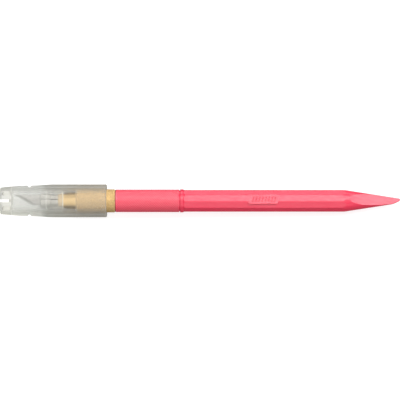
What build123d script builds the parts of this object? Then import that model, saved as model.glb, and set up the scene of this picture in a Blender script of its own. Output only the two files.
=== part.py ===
from build123d import *
import os
from math import cos, pi, radians, sin, tan

# Capped art knife. Millimetres, +Z up, the knife's own axis along X, cap at -X, spatula tail at +X.
# Stations are distances from the cap's front end; x_at() turns one into an X coordinate.
TOTAL_LENGTH = 147.0
CAP_ROLL = 14.0  # the cap pushes on at any angle; it sits turned by this much about X

os.makedirs("parts", exist_ok=True)


def x_at(station):
    return station - TOTAL_LENGTH / 2


def outline(points):
    """Profile corners given as (station, radius), as (X, Y) points."""
    return [(x_at(s), r) for s, r in points]


# --- driving dimensions -------------------------------------------------------------------------
# cap shell
CAP_FRONT_R = 4.95
CAP_WAIST_R = 5.65
CAP_R = 6.035
CAP_MOUTH = 39.1
CAP_STRAIGHT_FROM = 19.7
CAP_BORE_R = 4.785
CAP_WALL_FRONT = 4.3
CAP_EDGE = 0.25
CAP_NECK_FROM = 9.6
CAP_NECK_TO = 12.6
CAP_SWELL = 0.035
SLOT_DEPTH = 3.6
SLOT_HEIGHT = 1.0
POCKET_FROM = 0.9
POCKET_TO = 3.9
POCKET_HEIGHT = 1.55
POCKET_OFFSET = 2.75
POCKET_WEB = 1.0
POCKET_CORNER = 0.4
NOTCH_STATION = 10.65
NOTCH_DEPTH = 0.62
NOTCH_FLOOR = 0.7
NOTCH_FLARE = 1.0

# cap liner
LINER_R = 4.755
LINER_FRONT = 4.35
LINER_SHOULDER = 17.1
LINER_END = 23.3
LINER_EDGE = 0.3
TUBE_HALF_WIDTH = 3.05
TUBE_HALF_HEIGHT = 3.6
TUBE_CORNER = 0.7
CHANNEL_HALF_WIDTH = 2.7
CHANNEL_HALF_HEIGHT = 3.05
CHANNEL_CORNER = 0.5

# blade
BLADE_TIP = 5.05
BLADE_THICKNESS = 0.4
BLADE_TOP = 2.27
BLADE_BOTTOM = -1.55
BLADE_HEEL = 11.7
BLADE_BODY_END = 17.2
TANG_HALF = 1.25
TANG_END = 26.0
TANG_CORNER = 0.6
BEVEL_WIDTH = 0.95
EDGE_THICKNESS = 0.06

# collet
HEAD_FRONT = 14.6
HEAD_END = 18.7
HEAD_R = 2.6
NECK_R = 2.3
CONE_FRONT_R = 2.13
CONE_END_R = 1.68
STEM_R = 1.62
THREAD_R = 1.75
THREAD_FROM = 28.4
THREAD_TO = 34.4
THREAD_PITCH = 0.5
THREAD_DEPTH = 0.22
TAIL_R = 1.5
TAIL_FLAT = 1.15
TAIL_FLAT_FROM = 34.7
TAIL_END = 46.0
HEAD_CHAMFER = 0.35
CREST = 0.1
BLADE_SLIT = 0.46
CROSS_SLIT = 0.36
SLIT_END = 27.2

# lock collar
NOSE_FRONT = 21.3
NOSE_FRONT_R = 2.42
NOSE_BACK_R = 3.1
CONE_END = 25.5
NOSE_MOUTH_R = 2.18
NOSE_THROAT_R = 1.73
STEM_BORE_R = 1.8
NUT_BORE_R = 1.82
COLLAR_FRONT = 28.1
COLLAR_BACK = 42.18
COLLAR_R = 4.27
COLLAR_SHOULDER = 0.5
BEARING_FROM = 34.5
BEARING_R = 3.0
RING_GROOVE_R = 3.35

# handle
JOURNAL_FRONT = 34.8
JOURNAL_R = 2.95
RING_FROM = 37.0
RING_TO = 37.6
RING_INNER_R = 2.6
RING_OUTER_R = 3.25
RING_GAP_ANGLE = 40.0
WASHER_FROM = 42.2
WASHER_R = 4.0
RUNNING_FIT = 0.02
RING_SIDE_PLAY = 0.05
FLAT_PLAY = 0.04
GRIP_FRONT = 42.4
GRIP_BACK = 65.8
GRIP_R = 4.16
FLANGE_END = 43.4
SPIGOT_R = 3.4
SHANK_R = 2.2
SHANK_END = 58.0
BARB_FROM = 46.0
BARB_STEP = 3.0
BARB_COUNT = 4
BARB_DEPTH = 0.2
THREAD_POCKET = 1.6
GROOVE_END = 66.05
GROOVE_R = 3.85
RING_END = 67.4
RING_R = 4.24
RIM = 0.15
SIDES = 10
PRISM_R = 4.12
PRISM_EDGE_R = 0.8
PRISM_FOOT_R = 3.94
PRISM_LEAD = 1.0
PRISM_TURNED_R = 4.25
SPIGOT_JOIN_R = 3.0
TAIL_FROM = 122.2
TAIL_CONE_FROM = 127.5
TAIL_CONE_R = 3.84
TAIL_ANGLE = 8.8
TIP_ROUND_FROM = 142.7
TIP_POINT_Y = 0.1
TIP_BLEND = 0.55
SCOOP_RADIUS = 55.6
TAIL_HALF_THICKNESS = 0.45
PAD_FROM = 91.0
PAD_TO = 102.7
PAD_CENTRE_Y = -0.38
PAD_HALF_HEIGHT = 1.69
PAD_SLANT = 0.9
PAD_RISE = 0.1
PAD_CORNER = 0.5
PAD_ROOT = 0.6
PAD_CUT_COUNT = 8
PAD_CUT_STEP = 1.15
PAD_CUT_MARGIN = 1.85
PAD_CUT_WIDTH = 0.45
PAD_CUT_LENGTH = 2.1
PAD_CUT_SLANT = 15.0
PAD_CUT_DEPTH = 0.22

# distance from the axis to a flat of the ten-sided body
FACET = PRISM_R * cos(pi / SIDES)
# half-width of the tail's cone at a station
TAIL_SLOPE = tan(radians(TAIL_ANGLE))


def tail_r(station):
    return TAIL_CONE_R - TAIL_SLOPE * (station - TAIL_CONE_FROM)


cap_face = Plane(
    origin=(0, 0, 0),
    x_dir=(1, 0, 0),
    z_dir=(0, -sin(radians(CAP_ROLL)), cos(radians(CAP_ROLL))),
)

# --- cap shell: frosted plastic -----------------------------------------------------------------
with BuildPart() as cap_shell:
    # outside
    with BuildSketch(Plane.XY):
        with BuildLine():
            front = outline([(0, 0), (0, CAP_FRONT_R - CAP_EDGE), (CAP_EDGE, CAP_FRONT_R)])
            back = outline(
                [
                    (CAP_STRAIGHT_FROM, CAP_R),
                    (CAP_MOUTH - CAP_EDGE, CAP_R),
                    (CAP_MOUTH, CAP_R - CAP_EDGE),
                    (CAP_MOUTH, 0),
                ]
            )
            Polyline(*front)
            Spline(
                front[-1],
                (x_at(CAP_NECK_FROM), CAP_WAIST_R - CAP_SWELL),
                (x_at(CAP_NECK_TO), CAP_WAIST_R + CAP_SWELL),
                back[0],
                tangents=((1, 0.1), (1, 0)),
            )
            Polyline(*back)
            Line(back[-1], front[0])
        make_face()
    revolve(axis=Axis.X)
    # bore, closed at the front
    with BuildSketch(Plane.XY):
        with BuildLine():
            Polyline(
                *outline(
                    [
                        (CAP_WALL_FRONT, 0),
                        (CAP_WALL_FRONT, CAP_BORE_R),
                        (CAP_MOUTH - CAP_EDGE, CAP_BORE_R),
                        (CAP_MOUTH, CAP_BORE_R + CAP_EDGE),
                        (CAP_MOUTH, 0),
                    ]
                ),
                close=True,
            )
        make_face()
    revolve(axis=Axis.X, mode=Mode.SUBTRACT)
    # slot through the front end
    with BuildSketch(cap_face):
        with Locations((x_at(SLOT_DEPTH / 2), 0)):
            Rectangle(SLOT_DEPTH, SLOT_HEIGHT)
    extrude(amount=CAP_R, both=True, mode=Mode.SUBTRACT)
    # two pockets on each face, with a web left between them
    for side in (1, -1):
        with BuildSketch(cap_face.offset(side * POCKET_WEB / 2)):
            with Locations(
                (x_at((POCKET_FROM + POCKET_TO) / 2), POCKET_OFFSET),
                (x_at((POCKET_FROM + POCKET_TO) / 2), -POCKET_OFFSET),
            ):
                RectangleRounded(POCKET_TO - POCKET_FROM, POCKET_HEIGHT, POCKET_CORNER)
        extrude(amount=side * CAP_R, mode=Mode.SUBTRACT)
    # notches with sloping sides in both edges
    for side in (1, -1):
        with BuildSketch(cap_face):
            with BuildLine():
                notch_floor = side * (CAP_WAIST_R - NOTCH_DEPTH)
                notch_mouth = side * (CAP_WAIST_R + NOTCH_DEPTH)
                Polyline(
                    (x_at(NOTCH_STATION - NOTCH_FLOOR / 2), notch_floor),
                    (x_at(NOTCH_STATION + NOTCH_FLOOR / 2), notch_floor),
                    (x_at(NOTCH_STATION + NOTCH_FLOOR / 2 + NOTCH_FLARE), notch_mouth),
                    (x_at(NOTCH_STATION - NOTCH_FLOOR / 2 - NOTCH_FLARE), notch_mouth),
                    close=True,
                )
            make_face()
        extrude(amount=CAP_R, both=True, mode=Mode.SUBTRACT)

# --- cap liner: frosted plastic plug with a four-sided tube that grips the nose -----------------
with BuildPart() as cap_liner:
    with BuildSketch(Plane.YZ.offset(x_at(LINER_FRONT))):
        Circle(LINER_R)
    extrude(amount=LINER_SHOULDER - LINER_FRONT)
    chamfer(edges().filter_by(GeomType.CIRCLE), length=LINER_EDGE)
    with BuildSketch(Plane.YZ.offset(x_at(LINER_SHOULDER))):
        RectangleRounded(2 * TUBE_HALF_WIDTH, 2 * TUBE_HALF_HEIGHT, TUBE_CORNER)
    extrude(amount=LINER_END - LINER_SHOULDER)
    rim = faces().sort_by(Axis.X)[-1]
    chamfer(rim.edges(), length=LINER_EDGE)
    with BuildSketch(Plane.YZ.offset(x_at(LINER_FRONT))):
        RectangleRounded(2 * CHANNEL_HALF_WIDTH, 2 * CHANNEL_HALF_HEIGHT, CHANNEL_CORNER)
    extrude(amount=LINER_END - LINER_FRONT, mode=Mode.SUBTRACT)

# --- blade: hardened steel ----------------------------------------------------------------------
with BuildPart() as blade:
    with BuildSketch(Plane.XY):
        with BuildLine():
            Polyline(
                (x_at(BLADE_TIP), BLADE_TOP),
                (x_at(BLADE_HEEL), BLADE_BOTTOM),
                (x_at(BLADE_BODY_END), BLADE_BOTTOM),
                (x_at(BLADE_BODY_END + TANG_CORNER), -TANG_HALF),
                (x_at(TANG_END - TANG_CORNER), -TANG_HALF),
                (x_at(TANG_END), -TANG_HALF + TANG_CORNER),
                (x_at(TANG_END), TANG_HALF - TANG_CORNER),
                (x_at(TANG_END - TANG_CORNER), TANG_HALF),
                (x_at(BLADE_BODY_END + 1.0), TANG_HALF),
                (x_at(BLADE_BODY_END), BLADE_TOP),
                close=True,
            )
        make_face()
    extrude(amount=BLADE_THICKNESS / 2, both=True)
    # ground bevel on both faces of the slanted edge
    edge_run = Vector(BLADE_HEEL - BLADE_TIP, BLADE_BOTTOM - BLADE_TOP, 0)
    edge_dir = edge_run.normalized()
    bevel_plane = Plane(
        origin=Vector(x_at(BLADE_TIP), BLADE_TOP, 0) - edge_dir * 2,
        x_dir=(-edge_dir.Y, edge_dir.X, 0),
        z_dir=edge_dir,
    )
    for side in (1, -1):
        with BuildSketch(bevel_plane):
            with BuildLine():
                Polyline(
                    (-1, side * EDGE_THICKNESS / 2),
                    (0, side * EDGE_THICKNESS / 2),
                    (BEVEL_WIDTH, side * BLADE_THICKNESS / 2),
                    (BEVEL_WIDTH, side * BLADE_THICKNESS),
                    (-1, side * BLADE_THICKNESS),
                    close=True,
                )
            make_face()
        extrude(amount=edge_run.length + 4, mode=Mode.SUBTRACT)

# --- collet: nickel-plated steel ----------------------------------------------------------------
with BuildPart() as collet:
    with BuildSketch(Plane.XY):
        with BuildLine():
            stem = [
                (HEAD_FRONT, 0),
                (HEAD_FRONT, HEAD_R - HEAD_CHAMFER),
                (HEAD_FRONT + HEAD_CHAMFER, HEAD_R),
                (HEAD_END - 0.2, HEAD_R),
                (HEAD_END, HEAD_R - 0.2),
                (HEAD_END, NECK_R),
                (NOSE_FRONT - 0.2, CONE_FRONT_R + 0.02),
                (NOSE_FRONT, CONE_FRONT_R),
                (CONE_END, CONE_END_R),
                (CONE_END, STEM_R),
                (THREAD_FROM, STEM_R),
            ]
            turns = int((THREAD_TO - THREAD_FROM) / THREAD_PITCH)
            for i in range(turns):
                start = THREAD_FROM + i * THREAD_PITCH
                stem += [
                    (start, THREAD_R - THREAD_DEPTH),
                    (start + 2 * CREST, THREAD_R),
                    (start + 3 * CREST, THREAD_R),
                ]
            stem += [
                (THREAD_TO, THREAD_R - THREAD_DEPTH),
                (THREAD_TO + 0.2, TAIL_R),
                (TAIL_END - 0.3, TAIL_R),
                (TAIL_END, TAIL_R - 0.3),
                (TAIL_END, 0),
            ]
            Polyline(*outline(stem), close=True)
        make_face()
    revolve(axis=Axis.X)
    # flats that keep the tail from turning in the insert
    for side in (1, -1):
        with Locations((x_at((TAIL_FLAT_FROM + TAIL_END) / 2), 0, side * (TAIL_FLAT + 1))):
            Box(TAIL_END - TAIL_FLAT_FROM, 2 * TAIL_R + 1, 2, mode=Mode.SUBTRACT)
    # blade slit and the slit across it
    slit_length = SLIT_END - HEAD_FRONT + 1
    with Locations((x_at(SLIT_END - slit_length / 2), 0, 0)):
        Box(slit_length, 2 * HEAD_R + 1, BLADE_SLIT, mode=Mode.SUBTRACT)
        Box(slit_length, CROSS_SLIT, 2 * HEAD_R + 1, mode=Mode.SUBTRACT)

# --- lock collar: brass nose and collar, one turned piece ---------------------------------------
with BuildPart() as lock_collar:
    with BuildSketch(Plane.XY):
        with BuildLine():
            body = [
                (NOSE_FRONT, NOSE_MOUTH_R),
                (NOSE_FRONT, NOSE_FRONT_R - 0.1),
                (NOSE_FRONT + 0.1, NOSE_FRONT_R),
                (COLLAR_FRONT - 0.35, NOSE_BACK_R),
                (COLLAR_FRONT, NOSE_BACK_R),
                (COLLAR_FRONT, COLLAR_R - COLLAR_SHOULDER),
                (COLLAR_FRONT + 0.3 * COLLAR_SHOULDER, COLLAR_R - 0.3 * COLLAR_SHOULDER),
                (COLLAR_FRONT + COLLAR_SHOULDER, COLLAR_R),
                (COLLAR_BACK - 0.3, COLLAR_R),
                (COLLAR_BACK, COLLAR_R - 0.3),
                (COLLAR_BACK, BEARING_R),
                (RING_TO + RING_SIDE_PLAY, BEARING_R),
                (RING_TO + RING_SIDE_PLAY, RING_GROOVE_R),
                (RING_FROM - RING_SIDE_PLAY, RING_GROOVE_R),
                (RING_FROM - RING_SIDE_PLAY, BEARING_R),
                (BEARING_FROM, BEARING_R),
                (BEARING_FROM, NUT_BORE_R + 0.1),
            ]
            nut_turns = int((BEARING_FROM - THREAD_FROM) / THREAD_PITCH)
            for i in range(nut_turns):
                start = BEARING_FROM - i * THREAD_PITCH
                body += [
                    (start - CREST, NUT_BORE_R),
                    (start - 2 * CREST, NUT_BORE_R),
                    (start - 3.5 * CREST, NUT_BORE_R + THREAD_DEPTH - 0.04),
                ]
            body += [
                (THREAD_FROM, STEM_BORE_R),
                (CONE_END + 0.4, STEM_BORE_R),
                (CONE_END, NOSE_THROAT_R),
            ]
            Polyline(*outline(body), close=True)
        make_face()
    revolve(axis=Axis.X)

# --- retaining ring: spring steel ---------------------------------------------------------------
with BuildPart() as retaining_ring:
    ring_gap = 2 * RING_INNER_R * sin(radians(RING_GAP_ANGLE / 2))
    with BuildSketch(Plane.YZ.offset(x_at(RING_FROM))):
        Circle(RING_OUTER_R)
        Circle(RING_INNER_R, mode=Mode.SUBTRACT)
        with Locations((RING_OUTER_R, 0)):
            Rectangle(2 * RING_OUTER_R, ring_gap, mode=Mode.SUBTRACT)
    extrude(amount=RING_TO - RING_FROM)

# --- thrust washer: dark nylon ------------------------------------------------------------------
with BuildPart() as thrust_washer:
    with BuildSketch(Plane.YZ.offset(x_at(WASHER_FROM))):
        Circle(WASHER_R)
        Circle(JOURNAL_R + RUNNING_FIT, mode=Mode.SUBTRACT)
    extrude(amount=GRIP_FRONT - WASHER_FROM)

# --- core insert: turned steel ------------------------------------------------------------------
with BuildPart() as core_insert:
    with BuildSketch(Plane.XY):
        with BuildLine():
            core = [
                (JOURNAL_FRONT, 0),
                (JOURNAL_FRONT, JOURNAL_R - 0.25),
                (JOURNAL_FRONT + 0.25, JOURNAL_R),
                (RING_FROM, JOURNAL_R),
                (RING_FROM, RING_INNER_R - RING_SIDE_PLAY),
                (RING_TO, RING_INNER_R - RING_SIDE_PLAY),
                (RING_TO, JOURNAL_R),
                (GRIP_FRONT, JOURNAL_R),
                (GRIP_FRONT, SPIGOT_R),
                (FLANGE_END, SPIGOT_R),
                (FLANGE_END, SHANK_R),
            ]
            # barbs that bite into the handle
            for i in range(BARB_COUNT):
                start = BARB_FROM + i * BARB_STEP
                core += [
                    (start, SHANK_R),
                    (start, SHANK_R - BARB_DEPTH),
                    (start + 1.0, SHANK_R),
                ]
            core += [(SHANK_END - 0.4, SHANK_R), (SHANK_END, SHANK_R - 0.4), (SHANK_END, 0)]
            Polyline(*outline(core), close=True)
        make_face()
    revolve(axis=Axis.X)
    # clearance for the end of the thread
    with BuildSketch(Plane.YZ.offset(x_at(JOURNAL_FRONT))):
        Circle(NUT_BORE_R + 0.1)
    extrude(amount=THREAD_POCKET, mode=Mode.SUBTRACT)
    # flat-sided bore for the collet's tail
    flat_bore_from = JOURNAL_FRONT + THREAD_POCKET
    with BuildSketch(Plane.YZ.offset(x_at(flat_bore_from))):
        Circle(TAIL_R + FLAT_PLAY)
        Rectangle(2 * TAIL_R + 1, 2 * (TAIL_FLAT + FLAT_PLAY), mode=Mode.INTERSECT)
    extrude(amount=TAIL_END + 2 - flat_bore_from, mode=Mode.SUBTRACT)

# --- grip sleeve: pink plastic ------------------------------------------------------------------
with BuildPart() as grip_sleeve:
    with BuildSketch(Plane.XY):
        with BuildLine():
            Polyline(
                *outline(
                    [
                        (GRIP_FRONT, SPIGOT_R + RUNNING_FIT),
                        (GRIP_FRONT, GRIP_R - RIM),
                        (GRIP_FRONT + RIM, GRIP_R),
                        (GRIP_BACK - RIM, GRIP_R),
                        (GRIP_BACK, GRIP_R - RIM),
                        (GRIP_BACK, SPIGOT_R + RUNNING_FIT),
                    ]
                ),
                close=True,
            )
        make_face()
    revolve(axis=Axis.X)

# --- barrel: pink plastic, one moulding ---------------------------------------------------------
with BuildPart() as barrel:
    # ten-sided body and tail
    with BuildSketch(Plane.YZ.offset(x_at(RING_END))):
        RegularPolygon(PRISM_R, SIDES, rotation=90 + 180 / SIDES)
        fillet(vertices(), radius=PRISM_EDGE_R)
    extrude(amount=TOTAL_LENGTH - RING_END)
    # turned down at both ends
    with BuildSketch(Plane.XY):
        with BuildLine():
            front = outline(
                [
                    (RING_END - 1, 0),
                    (RING_END - 1, PRISM_FOOT_R),
                    (RING_END, PRISM_FOOT_R),
                    (RING_END + PRISM_LEAD, PRISM_TURNED_R),
                    (TAIL_FROM, PRISM_TURNED_R),
                ]
            )
            back = outline(
                [
                    (TAIL_CONE_FROM, TAIL_CONE_R),
                    (TOTAL_LENGTH, tail_r(TOTAL_LENGTH)),
                    (TOTAL_LENGTH, 0),
                ]
            )
            Polyline(*front)
            Spline(front[-1], back[0], tangents=((1, 0), (1, -TAIL_SLOPE)))
            Polyline(*back)
            Line(back[-1], front[0])
        make_face()
    revolve(axis=Axis.X, mode=Mode.INTERSECT)
    # spatula scoops on both sides of the tail
    for side in (1, -1):
        with BuildSketch(Plane.XZ):
            with Locations((x_at(TOTAL_LENGTH), side * (TAIL_HALF_THICKNESS + SCOOP_RADIUS))):
                Circle(SCOOP_RADIUS)
        extrude(amount=PRISM_R + 1, both=True, mode=Mode.SUBTRACT)
    # tip, rounded off on one side only
    with BuildSketch(Plane.XY):
        with BuildLine():
            tip_start = (x_at(TIP_ROUND_FROM), -tail_r(TIP_ROUND_FROM))
            tip_point = (x_at(TOTAL_LENGTH), TIP_POINT_Y)
            tip_corner = (x_at(TOTAL_LENGTH - TIP_BLEND), tail_r(TOTAL_LENGTH - TIP_BLEND))
            tip_side = (x_at(TOTAL_LENGTH - TIP_BLEND / 4), TIP_POINT_Y + TIP_BLEND)
            TangentArc(tip_start, tip_point, tangent=(1, TAIL_SLOPE))
            ThreePointArc(tip_point, tip_side, tip_corner)
            Polyline(
                tip_corner,
                (x_at(TOTAL_LENGTH + 1), tip_corner[1]),
                (x_at(TOTAL_LENGTH + 1), tip_start[1] - 0.2),
                (tip_start[0], tip_start[1] - 0.2),
                tip_start,
            )
        make_face()
    extrude(amount=PRISM_R, both=True, mode=Mode.SUBTRACT)
    # ring, groove and the spigot inside the grip
    with BuildSketch(Plane.XY):
        with BuildLine():
            Polyline(
                *outline(
                    [
                        (FLANGE_END, 0),
                        (FLANGE_END, SPIGOT_R),
                        (GRIP_BACK, SPIGOT_R),
                        (GRIP_BACK, GROOVE_R),
                        (GROOVE_END, GROOVE_R),
                        (GROOVE_END, RING_R - RIM),
                        (GROOVE_END + RIM, RING_R),
                        (RING_END - RIM, RING_R),
                        (RING_END, RING_R - RIM),
                        (RING_END, PRISM_FOOT_R),
                        (RING_END + 1, SPIGOT_JOIN_R),
                        (RING_END + 1, 0),
                    ]
                ),
                close=True,
            )
        make_face()
    revolve(axis=Axis.X)
    # blind bore for the insert
    with BuildSketch(Plane.YZ.offset(x_at(FLANGE_END))):
        Circle(SHANK_R + 0.01)
    extrude(amount=SHANK_END + 1 - FLANGE_END, mode=Mode.SUBTRACT)
    # plain raised pad on the upper facet, with neutral slanted grooves
    with BuildSketch(Plane.XY.offset(FACET - PAD_ROOT)):
        with BuildLine():
            Polyline(
                (x_at(PAD_FROM), PAD_CENTRE_Y - PAD_HALF_HEIGHT),
                (x_at(PAD_TO - PAD_SLANT), PAD_CENTRE_Y - PAD_HALF_HEIGHT),
                (x_at(PAD_TO), PAD_CENTRE_Y + PAD_HALF_HEIGHT),
                (x_at(PAD_FROM + PAD_SLANT), PAD_CENTRE_Y + PAD_HALF_HEIGHT),
                close=True,
            )
        make_face()
        fillet(vertices(), radius=PAD_CORNER)
    extrude(amount=PAD_ROOT + PAD_RISE)
    with BuildSketch(Plane.XY.offset(FACET + PAD_RISE)):
        for i in range(PAD_CUT_COUNT):
            with Locations((x_at(PAD_FROM + PAD_CUT_MARGIN + i * PAD_CUT_STEP), PAD_CENTRE_Y)):
                Rectangle(PAD_CUT_WIDTH, PAD_CUT_LENGTH, rotation=-PAD_CUT_SLANT)
    extrude(amount=-PAD_CUT_DEPTH, mode=Mode.SUBTRACT)

# --- written out --------------------------------------------------------------------------------
cap_shell.part.label = "cap_shell"
cap_liner.part.label = "cap_liner"
blade.part.label = "blade"
collet.part.label = "collet"
lock_collar.part.label = "lock_collar"
retaining_ring.part.label = "retaining_ring"
thrust_washer.part.label = "thrust_washer"
core_insert.part.label = "core_insert"
grip_sleeve.part.label = "grip_sleeve"
barrel.part.label = "barrel"
export_step(cap_shell.part, "parts/cap_shell.step")
export_step(cap_liner.part, "parts/cap_liner.step")
export_step(blade.part, "parts/blade.step")
export_step(collet.part, "parts/collet.step")
export_step(lock_collar.part, "parts/lock_collar.step")
export_step(retaining_ring.part, "parts/retaining_ring.step")
export_step(thrust_washer.part, "parts/thrust_washer.step")
export_step(core_insert.part, "parts/core_insert.step")
export_step(grip_sleeve.part, "parts/grip_sleeve.step")
export_step(barrel.part, "parts/barrel.step")
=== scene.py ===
from math import cos, pi, radians, sin

import bpy
from mathutils import Matrix, Vector


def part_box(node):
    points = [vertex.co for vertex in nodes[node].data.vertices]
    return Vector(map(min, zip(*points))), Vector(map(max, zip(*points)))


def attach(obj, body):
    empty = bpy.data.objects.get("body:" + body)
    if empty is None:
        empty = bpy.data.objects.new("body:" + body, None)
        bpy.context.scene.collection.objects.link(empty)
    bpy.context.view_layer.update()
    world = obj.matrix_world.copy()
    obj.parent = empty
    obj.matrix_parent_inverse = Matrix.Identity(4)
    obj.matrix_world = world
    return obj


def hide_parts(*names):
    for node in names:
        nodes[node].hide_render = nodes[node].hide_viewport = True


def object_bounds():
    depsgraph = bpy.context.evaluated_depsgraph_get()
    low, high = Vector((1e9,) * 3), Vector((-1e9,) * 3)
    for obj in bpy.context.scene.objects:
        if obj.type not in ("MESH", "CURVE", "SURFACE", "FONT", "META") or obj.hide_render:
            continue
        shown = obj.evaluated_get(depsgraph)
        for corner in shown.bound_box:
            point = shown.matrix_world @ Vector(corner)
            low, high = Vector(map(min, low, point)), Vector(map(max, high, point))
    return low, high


# Looks of the capped art knife. Metres, in the frame of the CAD model: the knife lies along X with the
# cap at -X, and +Z is the facet with the pad.
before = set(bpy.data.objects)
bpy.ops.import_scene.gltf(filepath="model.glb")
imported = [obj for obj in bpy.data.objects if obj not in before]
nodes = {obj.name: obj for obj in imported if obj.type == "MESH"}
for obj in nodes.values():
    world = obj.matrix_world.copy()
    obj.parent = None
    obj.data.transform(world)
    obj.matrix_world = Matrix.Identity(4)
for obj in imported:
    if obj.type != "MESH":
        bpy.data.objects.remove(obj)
cad_low, cad_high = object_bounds()
MM = 0.001
LENGTH = cad_high.x - cad_low.x

# Stations along the capped knife, in millimetres behind the cap's front end.
BLOCK = 4.3
TUBE = 17.0
NOSE = 20.9
TUBE_END = 23.3
SHOULDER = 27.7
MOUTH = 39.1
COLLAR_END = 42.2
PAD_FROM = 91.0
PAD_TO = 102.7

# Depths of the cuts between diamonds, in millimetres.
GRIP_CUT = 0.06
COLLAR_CUT = 0.06


# --- camera -------------------------------------------------------------------------------------
# A long lens almost above the knife, a little on its -Y side. The frame is as wide as the knife, and
# the cap's front end stands a hair in from the left edge.
ELEVATION = radians(76)
LEFT_MARGIN = 0.2 * MM
VIEW_WIDTH = LENGTH + LEFT_MARGIN
RISE = 0.31 * MM
LENS = 200
SENSOR = 36
towards_camera = Vector((0, -cos(ELEVATION), sin(ELEVATION)))
image_up = Vector((0, sin(ELEVATION), cos(ELEVATION)))


def make_camera():
    data = bpy.data.cameras.new("camera")
    data.lens = LENS
    data.sensor_width = SENSOR
    data.clip_start = 0.05
    data.clip_end = 20
    camera = bpy.data.objects.new("camera", data)
    bpy.context.scene.collection.objects.link(camera)
    distance = VIEW_WIDTH * LENS / SENSOR
    target = Vector(((cad_low.x + cad_high.x - LEFT_MARGIN) / 2, 0, 0)) + image_up * RISE
    camera.location = target + towards_camera * distance
    camera.rotation_mode = "QUATERNION"
    camera.rotation_quaternion = (-towards_camera).to_track_quat("-Z", "Y")
    bpy.context.scene.camera = camera


make_camera()


# --- lights and floor ---------------------------------------------------------------------------
def area_light(name, roll, lean, distance, width, depth, radiance):
    """A soft box that looks at the knife from `roll` off +Z towards +Y and `lean` towards +X. It is
    `width` along the knife and `depth` across it."""
    data = bpy.data.lights.new(name, "AREA")
    data.shape = "RECTANGLE"
    data.size = width
    data.size_y = depth
    data.energy = radiance * pi * width * depth
    lamp = bpy.data.objects.new(name, data)
    bpy.context.scene.collection.objects.link(lamp)
    away = Vector((sin(lean), cos(lean) * sin(roll), cos(lean) * cos(roll)))
    along = Vector((cos(lean), -sin(lean) * sin(roll), -sin(lean) * cos(roll)))
    turned = Matrix((along, away.cross(along), away)).transposed().to_4x4()
    lamp.matrix_world = Matrix.Translation(away * distance) @ turned


def make_world(strength):
    world = bpy.data.worlds.new("studio")
    world.use_nodes = True
    tree = world.node_tree
    background = tree.nodes["Background"]
    background.inputs["Color"].default_value = (1, 1, 1, 1)
    # what the camera sees past the floor is as white as the floor, whatever light the world gives
    ray = tree.nodes.new("ShaderNodeLightPath")
    seen = tree.nodes.new("ShaderNodeMapRange")
    seen.inputs["To Min"].default_value = strength
    seen.inputs["To Max"].default_value = 1.0
    tree.links.new(ray.outputs["Is Camera Ray"], seen.inputs["Value"])
    tree.links.new(seen.outputs["Result"], background.inputs["Strength"])
    bpy.context.scene.world = world


def make_floor(material):
    """A plain floor under the cap's mouth, swung up about it until the barrel rests on it too."""
    cap_low, cap_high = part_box("cap_shell")
    barrel = nodes["barrel"]
    corners = [barrel.matrix_world @ vertex.co for vertex in barrel.data.vertices]
    slope = min((c.z - cap_low.z) / (c.x - cap_high.x) for c in corners if c.x > cap_high.x)
    clearance = 0.02 * MM
    half = 3.0
    segments = 24
    verts = []
    faces = []
    for i in range(segments + 1):
        x = half * (2 * i / segments - 1)
        z = cap_low.z - clearance + slope * (x - cap_high.x)
        verts += [(x, -half, z), (x, half, z)]
    for i in range(segments):
        faces.append((2 * i, 2 * i + 2, 2 * i + 3, 2 * i + 1))
    mesh = bpy.data.meshes.new("floor")
    mesh.from_pydata(verts, [], faces)
    mesh.materials.append(material)
    floor = bpy.data.objects.new("floor", mesh)
    bpy.context.scene.collection.objects.link(floor)
    floor.visible_glossy = False


# --- material helpers ---------------------------------------------------------------------------
def new_material(name):
    """An empty node material: its tree and its main shader."""
    material = bpy.data.materials.new(name)
    material.use_nodes = True
    tree = material.node_tree
    shader = tree.nodes["Principled BSDF"]
    return material, tree, shader


def millimetres(tree, stretch=(1, 1, 1)):
    """Object coordinates in millimetres, divided by `stretch` along each axis."""
    place = tree.nodes.new("ShaderNodeTexCoord")
    scale = tree.nodes.new("ShaderNodeVectorMath")
    scale.operation = "MULTIPLY"
    scale.inputs[1].default_value = [1 / (MM * s) for s in stretch]
    tree.links.new(place.outputs["Object"], scale.inputs[0])
    return scale.outputs["Vector"]


def noise(tree, size, detail=2.0, stretch=(1, 1, 1)):
    """Noise whose blobs are about `size` millimetres across."""
    texture = tree.nodes.new("ShaderNodeTexNoise")
    texture.inputs["Scale"].default_value = 1 / size
    texture.inputs["Detail"].default_value = detail
    tree.links.new(millimetres(tree, stretch), texture.inputs["Vector"])
    return texture.outputs["Fac"]


def spread(tree, source, low, high, first=0.35, last=0.65):
    """`source` moved from the range first..last to low..high."""
    node = tree.nodes.new("ShaderNodeMapRange")
    node.inputs["From Min"].default_value = first
    node.inputs["From Max"].default_value = last
    node.inputs["To Min"].default_value = low
    node.inputs["To Max"].default_value = high
    tree.links.new(source, node.inputs["Value"])
    return node.outputs["Result"]


def fill(tree, socket, content):
    """Links a socket into an input, or sets the input to a number or a colour."""
    if isinstance(content, tuple):
        socket.default_value = (*content, 1)
    elif isinstance(content, (int, float)):
        socket.default_value = content
    else:
        tree.links.new(content, socket)


def arithmetic(tree, operation, *terms):
    """The result of a sum on numbers or value sockets."""
    node = tree.nodes.new("ShaderNodeMath")
    node.operation = operation
    for socket, term in zip(node.inputs, terms):
        fill(tree, socket, term)
    return node.outputs["Value"]


def product(tree, first, second):
    return arithmetic(tree, "MULTIPLY", first, second)


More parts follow.
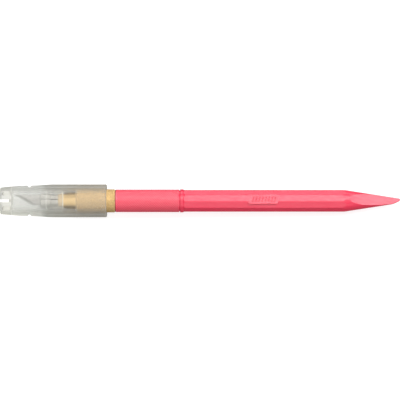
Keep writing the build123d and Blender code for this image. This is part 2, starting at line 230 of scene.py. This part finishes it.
def mix(tree, factor, first, second, mode="MIX"):
    """A colour between two others, each of them a colour or a socket."""
    node = tree.nodes.new("ShaderNodeMix")
    node.data_type = "RGBA"
    node.blend_type = mode
    colours = [socket for socket in node.inputs if socket.type == "RGBA"]
    fill(tree, colours[0], first)
    fill(tree, colours[1], second)
    tree.links.new(factor, node.inputs["Factor"])
    return next(socket for socket in node.outputs if socket.type == "RGBA")


def mix_shaders(tree, factor, first, second):
    """A shader between two others, by a number or a value socket."""
    node = tree.nodes.new("ShaderNodeMixShader")
    fill(tree, node.inputs["Fac"], factor)
    tree.links.new(first, node.inputs[1])
    tree.links.new(second, node.inputs[2])
    return node.outputs["Shader"]


def axis(tree, vector, name):
    """One axis of a vector socket."""
    node = tree.nodes.new("ShaderNodeSeparateXYZ")
    tree.links.new(vector, node.inputs["Vector"])
    return node.outputs[name]


def upward(tree):
    """The Z part of the surface's own direction: 1 on faces that look along +Z."""
    place = tree.nodes.new("ShaderNodeTexCoord")
    return axis(tree, place.outputs["Normal"], "Z")


def along_knife(tree, stops):
    """A value that runs between (station, value) stops."""
    first = cad_low.x / MM + stops[0][0]
    last = cad_low.x / MM + stops[-1][0]
    ramp = tree.nodes.new("ShaderNodeValToRGB")
    station = axis(tree, millimetres(tree), "X")
    tree.links.new(spread(tree, station, 0, 1, first, last), ramp.inputs["Fac"])
    points = ramp.color_ramp.elements
    while len(points) < len(stops):
        points.new(0.5)
    for point, (stop, value) in zip(points, stops):
        point.position = (stop - stops[0][0]) / (stops[-1][0] - stops[0][0])
        point.color = (value, value, value, 1)
    return ramp.outputs["Color"]


def bump(tree, height, distance, under=None):
    """A bump `distance` millimetres deep, laid over another one."""
    node = tree.nodes.new("ShaderNodeBump")
    node.inputs["Distance"].default_value = distance * MM
    tree.links.new(height, node.inputs["Height"])
    if under is not None:
        tree.links.new(under, node.inputs["Normal"])
    return node.outputs["Normal"]


def paint(node_or_piece, material):
    """Gives a CAD node, by name, or a new piece its one material."""
    piece = nodes.get(node_or_piece, node_or_piece)
    piece.data.materials.clear()
    piece.data.materials.append(material)


# --- materials ----------------------------------------------------------------------------------
def floor_paint():
    """Pale matte paper, lit a little from within so that it stays even."""
    material, tree, shader = new_material("floor_paper")
    shader.inputs["Base Color"].default_value = (0.32, 0.32, 0.32, 1)
    shader.inputs["Emission Color"].default_value = (1, 1, 1, 1)
    shader.inputs["Emission Strength"].default_value = 0.75
    shader.inputs["Roughness"].default_value = 0.9
    shader.inputs["Specular IOR Level"].default_value = 0.1
    grain = noise(tree, 2.0, 3)
    tree.links.new(bump(tree, grain, 0.02), shader.inputs["Normal"])
    return material


def pink_plastic(name, dark, light, gloss, shine, grain_depth):
    """Moulded pink plastic: faint flow streaks along the knife, fine grain, and small scuffs."""
    material, tree, shader = new_material(name)
    streaks = noise(tree, 1.6, 3, stretch=(9, 1, 1))
    colour = mix(tree, spread(tree, streaks, 0, 1), dark, light)
    tree.links.new(colour, shader.inputs["Base Color"])
    scuffs = noise(tree, 0.8, 4, stretch=(3, 1, 1))
    tree.links.new(spread(tree, scuffs, gloss - 0.05, gloss + 0.06), shader.inputs["Roughness"])
    shader.inputs["Specular IOR Level"].default_value = shine
    grain = noise(tree, 0.22, 2)
    tree.links.new(bump(tree, grain, grain_depth), shader.inputs["Normal"])
    return material, tree, shader


def cut_depth(tree, full):
    """0 on the lands and 1 at the bottom of cuts `full` millimetres deep."""
    attribute = tree.nodes.new("ShaderNodeAttribute")
    attribute.attribute_name = "cut"
    return spread(tree, attribute.outputs["Fac"], 0, 1, 0, full)


def paint_shade_and_dull(tree, shader, where, painted_shade_colour, roughen):
    """Gives a shader painted shade, a deeper colour, and a duller surface where the factor is 1."""
    pink = shader.inputs["Base Color"].links[0].from_socket
    tree.links.new(mix(tree, where, pink, painted_shade_colour), shader.inputs["Base Color"])
    gloss = shader.inputs["Roughness"].links[0].from_socket
    rough = arithmetic(tree, "MULTIPLY_ADD", where, roughen, gloss)
    tree.links.new(rough, shader.inputs["Roughness"])


def grip_plastic():
    """The grip's pink, deeper with painted shade and duller in the cuts between its diamonds."""
    material, tree, shader = pink_plastic(
        "pink_grip", (0.68, 0.022, 0.066), (0.71, 0.024, 0.070), 0.38, 1.25, 0.008
    )
    # painted shade: the cuts between the diamonds are darkened by their depth
    paint_shade_and_dull(tree, shader, cut_depth(tree, GRIP_CUT), (0.52, 0.008, 0.036), 0.4)
    return material


def barrel_plastic():
    """The barrel's pink, deeper with painted shade and duller on the floors of the pad's grooves, which
    face +Z a little below the top facet."""
    material, tree, shader = pink_plastic(
        "pink_barrel", (0.575, 0.0145, 0.050), (0.595, 0.0155, 0.054), 0.38, 0.6, 0.006
    )
    # painted shade: the floors of the pad's grooves, found by their height and facing, are darkened
    level = spread(tree, upward(tree), 0, 1, 0.93, 0.97)
    height = axis(tree, millimetres(tree), "Z")
    groove_shade = product(tree, spread(tree, height, 1, 0, 3.83, 3.88), level)
    pad = along_knife(
        tree,
        [
            (PAD_FROM - 1.0, 0),
            (PAD_FROM - 0.5, 0),
            (PAD_FROM - 0.2, 1),
            (PAD_TO + 0.2, 1),
            (PAD_TO + 0.5, 0),
            (PAD_TO + 1.3, 0),
        ],
    )
    paint_shade_and_dull(tree, shader, product(tree, groove_shade, pad), (0.50, 0.012, 0.042), 0.14)
    return material


def frosted_plastic(name, body_colour, veil_stops, painted_light_stops, painted_glow_stops, edge_veil):
    """Frosted translucent plastic: thick stretches veil more of what is behind them, and so does every
    wall that is seen edge-on. Some stretches are made whiter than the rest with painted light, and cut
    edges give off a painted glow in place of the light that the wall pipes to them."""
    material, tree, shader = new_material(name)
    edge = tree.nodes.new("ShaderNodeLayerWeight")
    edge.inputs["Blend"].default_value = 0.5
    facing = edge.outputs["Facing"]

    # the body's colour: cloudy, made whiter on some stretches with painted light, and dimmed with
    # painted shade where a slanting look goes through more plastic
    cloud = noise(tree, 3.0, 3)
    cloudy = tuple(0.93 * channel for channel in body_colour)
    body = mix(tree, spread(tree, cloud, 0, 1), cloudy, body_colour)
    # painted light: some stretches and cut edges are made whiter, in place of light that the wall bends
    # and scatters to them
    painted_light_body = mix(tree, along_knife(tree, painted_light_stops), body, (0.75, 0.75, 0.73))
    # painted shade: the colour is dimmed where the wall is seen slanting
    rim_shade = spread(tree, facing, 0, 1, 0.1, 0.4)
    depth = along_knife(tree, [(0, 0.6), (TUBE - 2.0, 0.6), (TUBE + 0.3, 1), (MOUTH, 1)])
    colour = mix(tree, product(tree, rim_shade, depth), painted_light_body, (0.58, 0.585, 0.575), "MULTIPLY")
    tree.links.new(colour, shader.inputs["Base Color"])
    # painted glow: the plastic gives off light of its own along the glow stops, in place of light that
    # the wall pipes to its cut edges
    shader.inputs["Emission Color"].default_value = (1, 1, 0.97, 1)
    tree.links.new(along_knife(tree, painted_glow_stops), shader.inputs["Emission Strength"])
    frost = noise(tree, 0.3, 3)
    tree.links.new(spread(tree, frost, 0.38, 0.5), shader.inputs["Roughness"])
    shader.inputs["IOR"].default_value = 1.49
    tree.links.new(bump(tree, frost, 0.01), shader.inputs["Normal"])

    # most of the light that the frost catches goes on through the wall
    through = tree.nodes.new("ShaderNodeBsdfTranslucent")
    tree.links.new(colour, through.inputs["Color"])
    frosted = mix_shaders(tree, 0.72, shader.outputs["BSDF"], through.outputs["BSDF"])

    # behind the liner's tube the bore stands bare and its curve bends the floor out of sight; painted
    # shade dims what is seen through the clear part there
    bare = along_knife(
        tree,
        [
            (0, 0),
            (TUBE_END - 0.1, 0),
            (TUBE_END + 0.2, 1),
            (SHOULDER - 0.1, 1),
            (SHOULDER + 0.2, 0),
            (MOUTH, 0),
        ],
    )
    curve = product(
        tree,
        spread(tree, facing, 0, 1, 0.06, 0.12),
        spread(tree, facing, 1, 0, 0.17, 0.35),
    )
    clear = tree.nodes.new("ShaderNodeBsdfTransparent")
    painted_bore_shade = mix(tree, product(tree, bare, curve), (0.965, 0.965, 0.965), (0.70, 0.69, 0.67))
    tree.links.new(painted_bore_shade, clear.inputs["Color"])

    # the frost veils the clear part by `veil_stops` where it is seen square on, and by `edge_veil`
    # where it is seen edge-on
    hide = tree.nodes.new("ShaderNodeMapRange")
    hide.inputs["From Min"].default_value = 0.12
    hide.inputs["From Max"].default_value = 0.62
    hide.inputs["To Max"].default_value = edge_veil
    tree.links.new(facing, hide.inputs["Value"])
    tree.links.new(along_knife(tree, veil_stops), hide.inputs["To Min"])
    veiled = mix_shaders(tree, hide.outputs["Result"], clear.outputs["BSDF"], frosted)

    # frost scatters light forwards, so nearly all of a lamp's light reaches what is behind it
    lit = tree.nodes.new("ShaderNodeBsdfTransparent")
    lit.inputs["Color"].default_value = (0.95, 0.95, 0.93, 1)
    ray = tree.nodes.new("ShaderNodeLightPath")
    whole = mix_shaders(tree, ray.outputs["Is Shadow Ray"], veiled, lit.outputs["BSDF"])
    tree.links.new(whole, tree.nodes["Material Output"].inputs["Surface"])
    return material


def shell_plastic():
    """The cap's outer part: solid at its front, made whiter with painted light over the liner's block,
    bare towards the mouth.
    """
    return frosted_plastic(
        "frosted_shell",
        (0.68, 0.675, 0.64),
        veil_stops=[
            (0, 0.55),
            (BLOCK - 0.1, 0.55),
            (BLOCK + 0.3, 0.14),
            (SHOULDER - 0.2, 0.14),
            (SHOULDER + 0.5, 0.26),
            (MOUTH, 0.26),
        ],
        painted_light_stops=[
            (0, 0.6),
            (0.3, 0),
            (BLOCK - 0.1, 0),
            (BLOCK + 0.3, 0.9),
            (TUBE - 2.0, 0.8),
            (TUBE + 0.3, 0),
            (MOUTH - 0.5, 0),
            (MOUTH - 0.3, 0.6),
            (MOUTH, 0.6),
        ],
        painted_glow_stops=[
            (0, 0.15),
            (0.3, 0),
            (BLOCK - 0.3, 0),
            (BLOCK - 0.2, 0.5),
            (BLOCK, 0.5),
            (BLOCK + 0.1, 0),
            (MOUTH, 0),
        ],
        edge_veil=0.9,
    )


def liner_plastic():
    """The cap's inner part: a block, then a tube, with painted light and a painted glow on the rims at
    both ends of each.
    """
    return frosted_plastic(
        "frosted_liner",
        (0.76, 0.77, 0.76),
        veil_stops=[
            (BLOCK, 0.16),
            (TUBE, 0.20),
            (TUBE + 0.2, 0.13),
            (NOSE, 0.13),
            (NOSE + 0.4, 0.26),
            (TUBE_END - 0.4, 0.26),
            (TUBE_END - 0.3, 0.5),
            (TUBE_END, 0.5),
        ],
        painted_light_stops=[
            (BLOCK, 0.3),
            (BLOCK + 0.3, 0),
            (TUBE - 0.3, 0),
            (TUBE, 1),
            (TUBE + 0.2, 0.4),
            (TUBE_END - 0.3, 0.4),
            (TUBE_END, 1),
        ],
        painted_glow_stops=[
            (BLOCK, 0.8),
            (BLOCK + 0.4, 0.8),
            (BLOCK + 0.5, 0),
            (TUBE - 0.3, 0),
            (TUBE - 0.1, 1.2),
            (TUBE + 0.15, 1.2),
            (TUBE + 0.3, 0),
            (TUBE_END - 0.4, 0),
            (TUBE_END - 0.25, 1.2),
            (TUBE_END, 1.2),
        ],
        edge_veil=0.5,
    )


def metal(name, dark, light, gloss, mark_size, stretch, depth):
    """Bare or plated metal with tool marks drawn out along the directions of `stretch`."""
    material, tree, shader = new_material(name)
    shader.inputs["Metallic"].default_value = 1.0
    marks = noise(tree, mark_size, 4, stretch=stretch)
    colour = mix(tree, spread(tree, marks, 0, 1), dark, light)
    tree.links.new(colour, shader.inputs["Base Color"])
    stains = noise(tree, 1.2, 3)
    tree.links.new(spread(tree, stains, gloss - 0.06, gloss + 0.08), shader.inputs["Roughness"])
    tree.links.new(bump(tree, marks, depth), shader.inputs["Normal"])
    return material


def collar_brass():
    """Brass: matte and mottled where it is knurled, with painted shade in the knurl's cuts, smooth and
    brighter on the turned nose.
    """
    material, tree, shader = new_material("collar_brass")
    nose = along_knife(
        tree,
        [(NOSE + 0.1, 1), (SHOULDER + 0.2, 1), (SHOULDER + 0.5, 0), (COLLAR_END, 0)],
    )
    pits = spread(tree, noise(tree, 0.4, 3), 0, 1)
    lands = mix(tree, pits, (0.48, 0.315, 0.13), (0.78, 0.54, 0.235))
    # painted shade: the knurl's cuts are darkened by their depth
    cut = spread(tree, cut_depth(tree, COLLAR_CUT), 0, 0.7, 0, 1)
    knurled = mix(tree, cut, lands, (0.27, 0.17, 0.067))
    colour = mix(tree, nose, knurled, (0.72, 0.51, 0.25))
    tree.links.new(colour, shader.inputs["Base Color"])
    tree.links.new(spread(tree, nose, 0.45, 0.9, 0, 1), shader.inputs["Metallic"])
    tree.links.new(spread(tree, nose, 0.62, 0.36, 0, 1), shader.inputs["Roughness"])
    tree.links.new(bump(tree, pits, 0.012), shader.inputs["Normal"])
    return material


def blade_steel():
    """Ground steel, painted near black on the bevel as painted shade, since its faces lean away from the
    flats.
    """
    material, tree, shader = new_material("blade_steel")
    shader.inputs["Metallic"].default_value = 1.0
    marks = noise(tree, 0.1, 4, stretch=(1, 12, 1))
    flat = mix(tree, spread(tree, marks, 0, 1), (0.31, 0.295, 0.285), (0.37, 0.355, 0.345))
    # painted shade: faces that lean away from ±Z, the bevel's, get a near-black colour
    square = arithmetic(tree, "ABSOLUTE", upward(tree))
    colour = mix(tree, spread(tree, square, 0, 1, 0.975, 0.99), (0.04, 0.04, 0.042), flat)
    tree.links.new(colour, shader.inputs["Base Color"])
    shader.inputs["Roughness"].default_value = 0.42
    tree.links.new(bump(tree, marks, 0.002), shader.inputs["Normal"])
    return material


def dark_nylon():
    """The washer's nearly black plastic, faintly speckled."""
    material, tree, shader = new_material("washer_nylon")
    speckle = noise(tree, 0.3, 2)
    colour = mix(tree, spread(tree, speckle, 0, 1), (0.02, 0.015, 0.015), (0.05, 0.04, 0.04))
    tree.links.new(colour, shader.inputs["Base Color"])
    shader.inputs["Roughness"].default_value = 0.6
    return material


# --- lathe work ---------------------------------------------------------------------------------
def link_mesh(name, verts, faces, sharp_above):
    """A new piece in the scene, smooth but for edges sharper than an angle."""
    mesh = bpy.data.meshes.new(name)
    mesh.from_pydata(verts, [], faces)
    mesh.update()
    mesh.shade_smooth()
    mesh.set_sharp_from_angle(angle=sharp_above)
    piece = bpy.data.objects.new(name, mesh)
    bpy.context.scene.collection.objects.link(piece)
    return piece


def lathe(name, profile, around, relief, sharp_above=radians(28)):
    """A closed profile of (x, radius) turned about X. relief(i, j) is cut off the radius at profile
    corner i and step j around; it is 0 where the surface is plain. Each corner keeps how deep it was
    cut, in millimetres, as the attribute `cut`."""
    verts = []
    faces = []
    cuts = []
    for i, (x, r) in enumerate(profile):
        for j in range(around):
            angle = 2 * pi * j / around
            radius = r - relief(i, j)
            verts.append((x, radius * cos(angle), radius * sin(angle)))
            cuts.append(relief(i, j) / MM)
    rows = len(profile)
    for i in range(rows):
        for j in range(around):
            a = i * around + j
            b = i * around + (j + 1) % around
            c = ((i + 1) % rows) * around + (j + 1) % around
            d = ((i + 1) % rows) * around + j
            faces.append((a, b, c, d))
    piece = link_mesh(name, verts, faces, sharp_above)
    piece.data.attributes.new("cut", "FLOAT", "POINT").data.foreach_set("value", cuts)
    return piece


STEPS = 4  # mesh steps across one diamond


def diamond(row, step, depth):
    """Depth of two crossing helical grooves at a row and step of the mesh."""
    nearest = min((row + step) % STEPS, (row - step) % STEPS)
    furthest = max((row + step) % STEPS, (row - step) % STEPS)
    distance = min(nearest, STEPS - furthest)
    return depth * (1 - distance / (STEPS / 2))


def textured_rows(start, end, diamonds):
    """Even stations along X, STEPS of them to a diamond."""
    count = diamonds * STEPS
    return [start + (end - start) * i / count for i in range(count + 1)]


def make_grip():
    """The grip sleeve with its fine diamonds cut in."""
    low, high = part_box("grip_sleeve")
    radius = high.z
    bore = 3.42 * MM
    rim = 0.15 * MM
    band = 0.35 * MM
    band_edge = 0.8 * band
    diamonds_along = 26
    diamonds_around = 28
    rows = textured_rows(low.x + band, high.x - band, diamonds_along)
    front = [
        (low.x, bore),
        (low.x, radius - rim),
        (low.x + rim, radius),
        (low.x + band_edge, radius),
    ]
    first = len(front)
    profile = front + [(x, radius) for x in rows]
    profile += [
        (high.x - band_edge, radius),
        (high.x - rim, radius),
        (high.x, radius - rim),
        (high.x, bore),
    ]

    def relief(i, j):
        row = i - first
        if row < 0 or row >= len(rows):
            return 0.0
        return diamond(row, j, GRIP_CUT * MM)

    grip = lathe("grip_sleeve_textured", profile, diamonds_around * STEPS, relief)
    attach(grip, "handle")
    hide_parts("grip_sleeve")
    return grip


def make_collar():
    """The lock collar: smooth turned nose, fine knurl on the collar."""
    low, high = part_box("lock_collar")
    radius = high.z
    shoulder = low.x + 6.8 * MM
    nose_front = 2.42 * MM
    nose_back = 3.1 * MM
    nose_edge = 0.1 * MM
    nose_bore = 2.18 * MM
    bearing_from = low.x + 13.2 * MM
    bearing_bore = 3.0 * MM
    thread_to = low.x + 4.6 * MM
    taper_to = low.x + 4.2 * MM
    diamonds_along = 28
    diamonds_around = 56
    knurl_from = shoulder + 0.5 * MM
    knurl_to = high.x - 0.3 * MM
    rows = textured_rows(knurl_from, knurl_to, diamonds_along)
    outside = [
        (low.x, nose_bore),
        (low.x, nose_front - nose_edge),
        (low.x + nose_edge, nose_front),
    ]
    # shallow turned rings on the nose
    rings = 40
    ring_depth = 0.004 * MM
    cone_to = shoulder - 0.35 * MM
    for k in range(rings):
        t = (k + 1) / rings
        x = low.x + nose_edge + (cone_to - low.x - nose_edge) * t
        r = nose_front + (nose_back - nose_front) * t
        outside.append((x, r - (ring_depth if k % 2 else 0)))
    outside += [
        (shoulder, nose_back),
        (shoulder, radius - 0.5 * MM),
        (shoulder + 0.15 * MM, radius - 0.15 * MM),
    ]
    first = len(outside)
    profile = outside + [(x, radius) for x in rows]
    profile += [
        (high.x, radius - 0.3 * MM),
        (high.x, bearing_bore),
        (bearing_from, bearing_bore),
        (bearing_from, 1.9 * MM),
        (thread_to, 1.8 * MM),
        (taper_to, 1.73 * MM),
    ]

    def relief(i, j):
        row = i - first
        if row <= 0 or row >= len(rows) - 1:
            return 0.0
        return diamond(row, j, COLLAR_CUT * MM)

    collar = lathe("lock_collar_knurled", profile, diamonds_around * STEPS, relief)
    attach(collar, "collar")
    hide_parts("lock_collar")
    return collar


# --- the knife ----------------------------------------------------------------------------------
def dress_knife():
    paint("barrel", barrel_plastic())
    paint(make_grip(), grip_plastic())
    paint("cap_shell", shell_plastic())
    paint("cap_liner", liner_plastic())
    paint(make_collar(), collar_brass())
    # nickel-plated jaws, turned before plating
    paint(
        "collet",
        metal("plated_steel", (0.50, 0.48, 0.45), (0.58, 0.56, 0.53), 0.36, 0.3, (1, 6, 6), 0.001),
    )
    paint("blade", blade_steel())
    paint(
        "core_insert",
        metal("insert_steel", (0.45, 0.45, 0.45), (0.6, 0.6, 0.6), 0.35, 0.15, (1, 8, 8), 0.004),
    )
    paint(
        "retaining_ring",
        metal("spring_steel", (0.35, 0.35, 0.37), (0.5, 0.5, 0.52), 0.35, 0.2, (1, 1, 1), 0.004),
    )
    paint("thrust_washer", dark_nylon())


dress_knife()
make_floor(floor_paint())
make_world(strength=0.08)
area_light("key", roll=radians(23), lean=radians(23), distance=0.9, width=0.95, depth=0.48, radiance=7.6)
area_light("overhead", roll=radians(-10), lean=0, distance=1.1, width=1.3, depth=1.3, radiance=1.64)
area_light("side", roll=radians(76), lean=0, distance=0.9, width=0.9, depth=0.4, radiance=3.6)
area_light("front", roll=radians(-58), lean=0, distance=0.9, width=0.9, depth=0.4, radiance=2.5)
bpy.context.scene.view_settings.view_transform = "Standard"
bpy.context.scene.cycles.transparent_max_bounces = 32
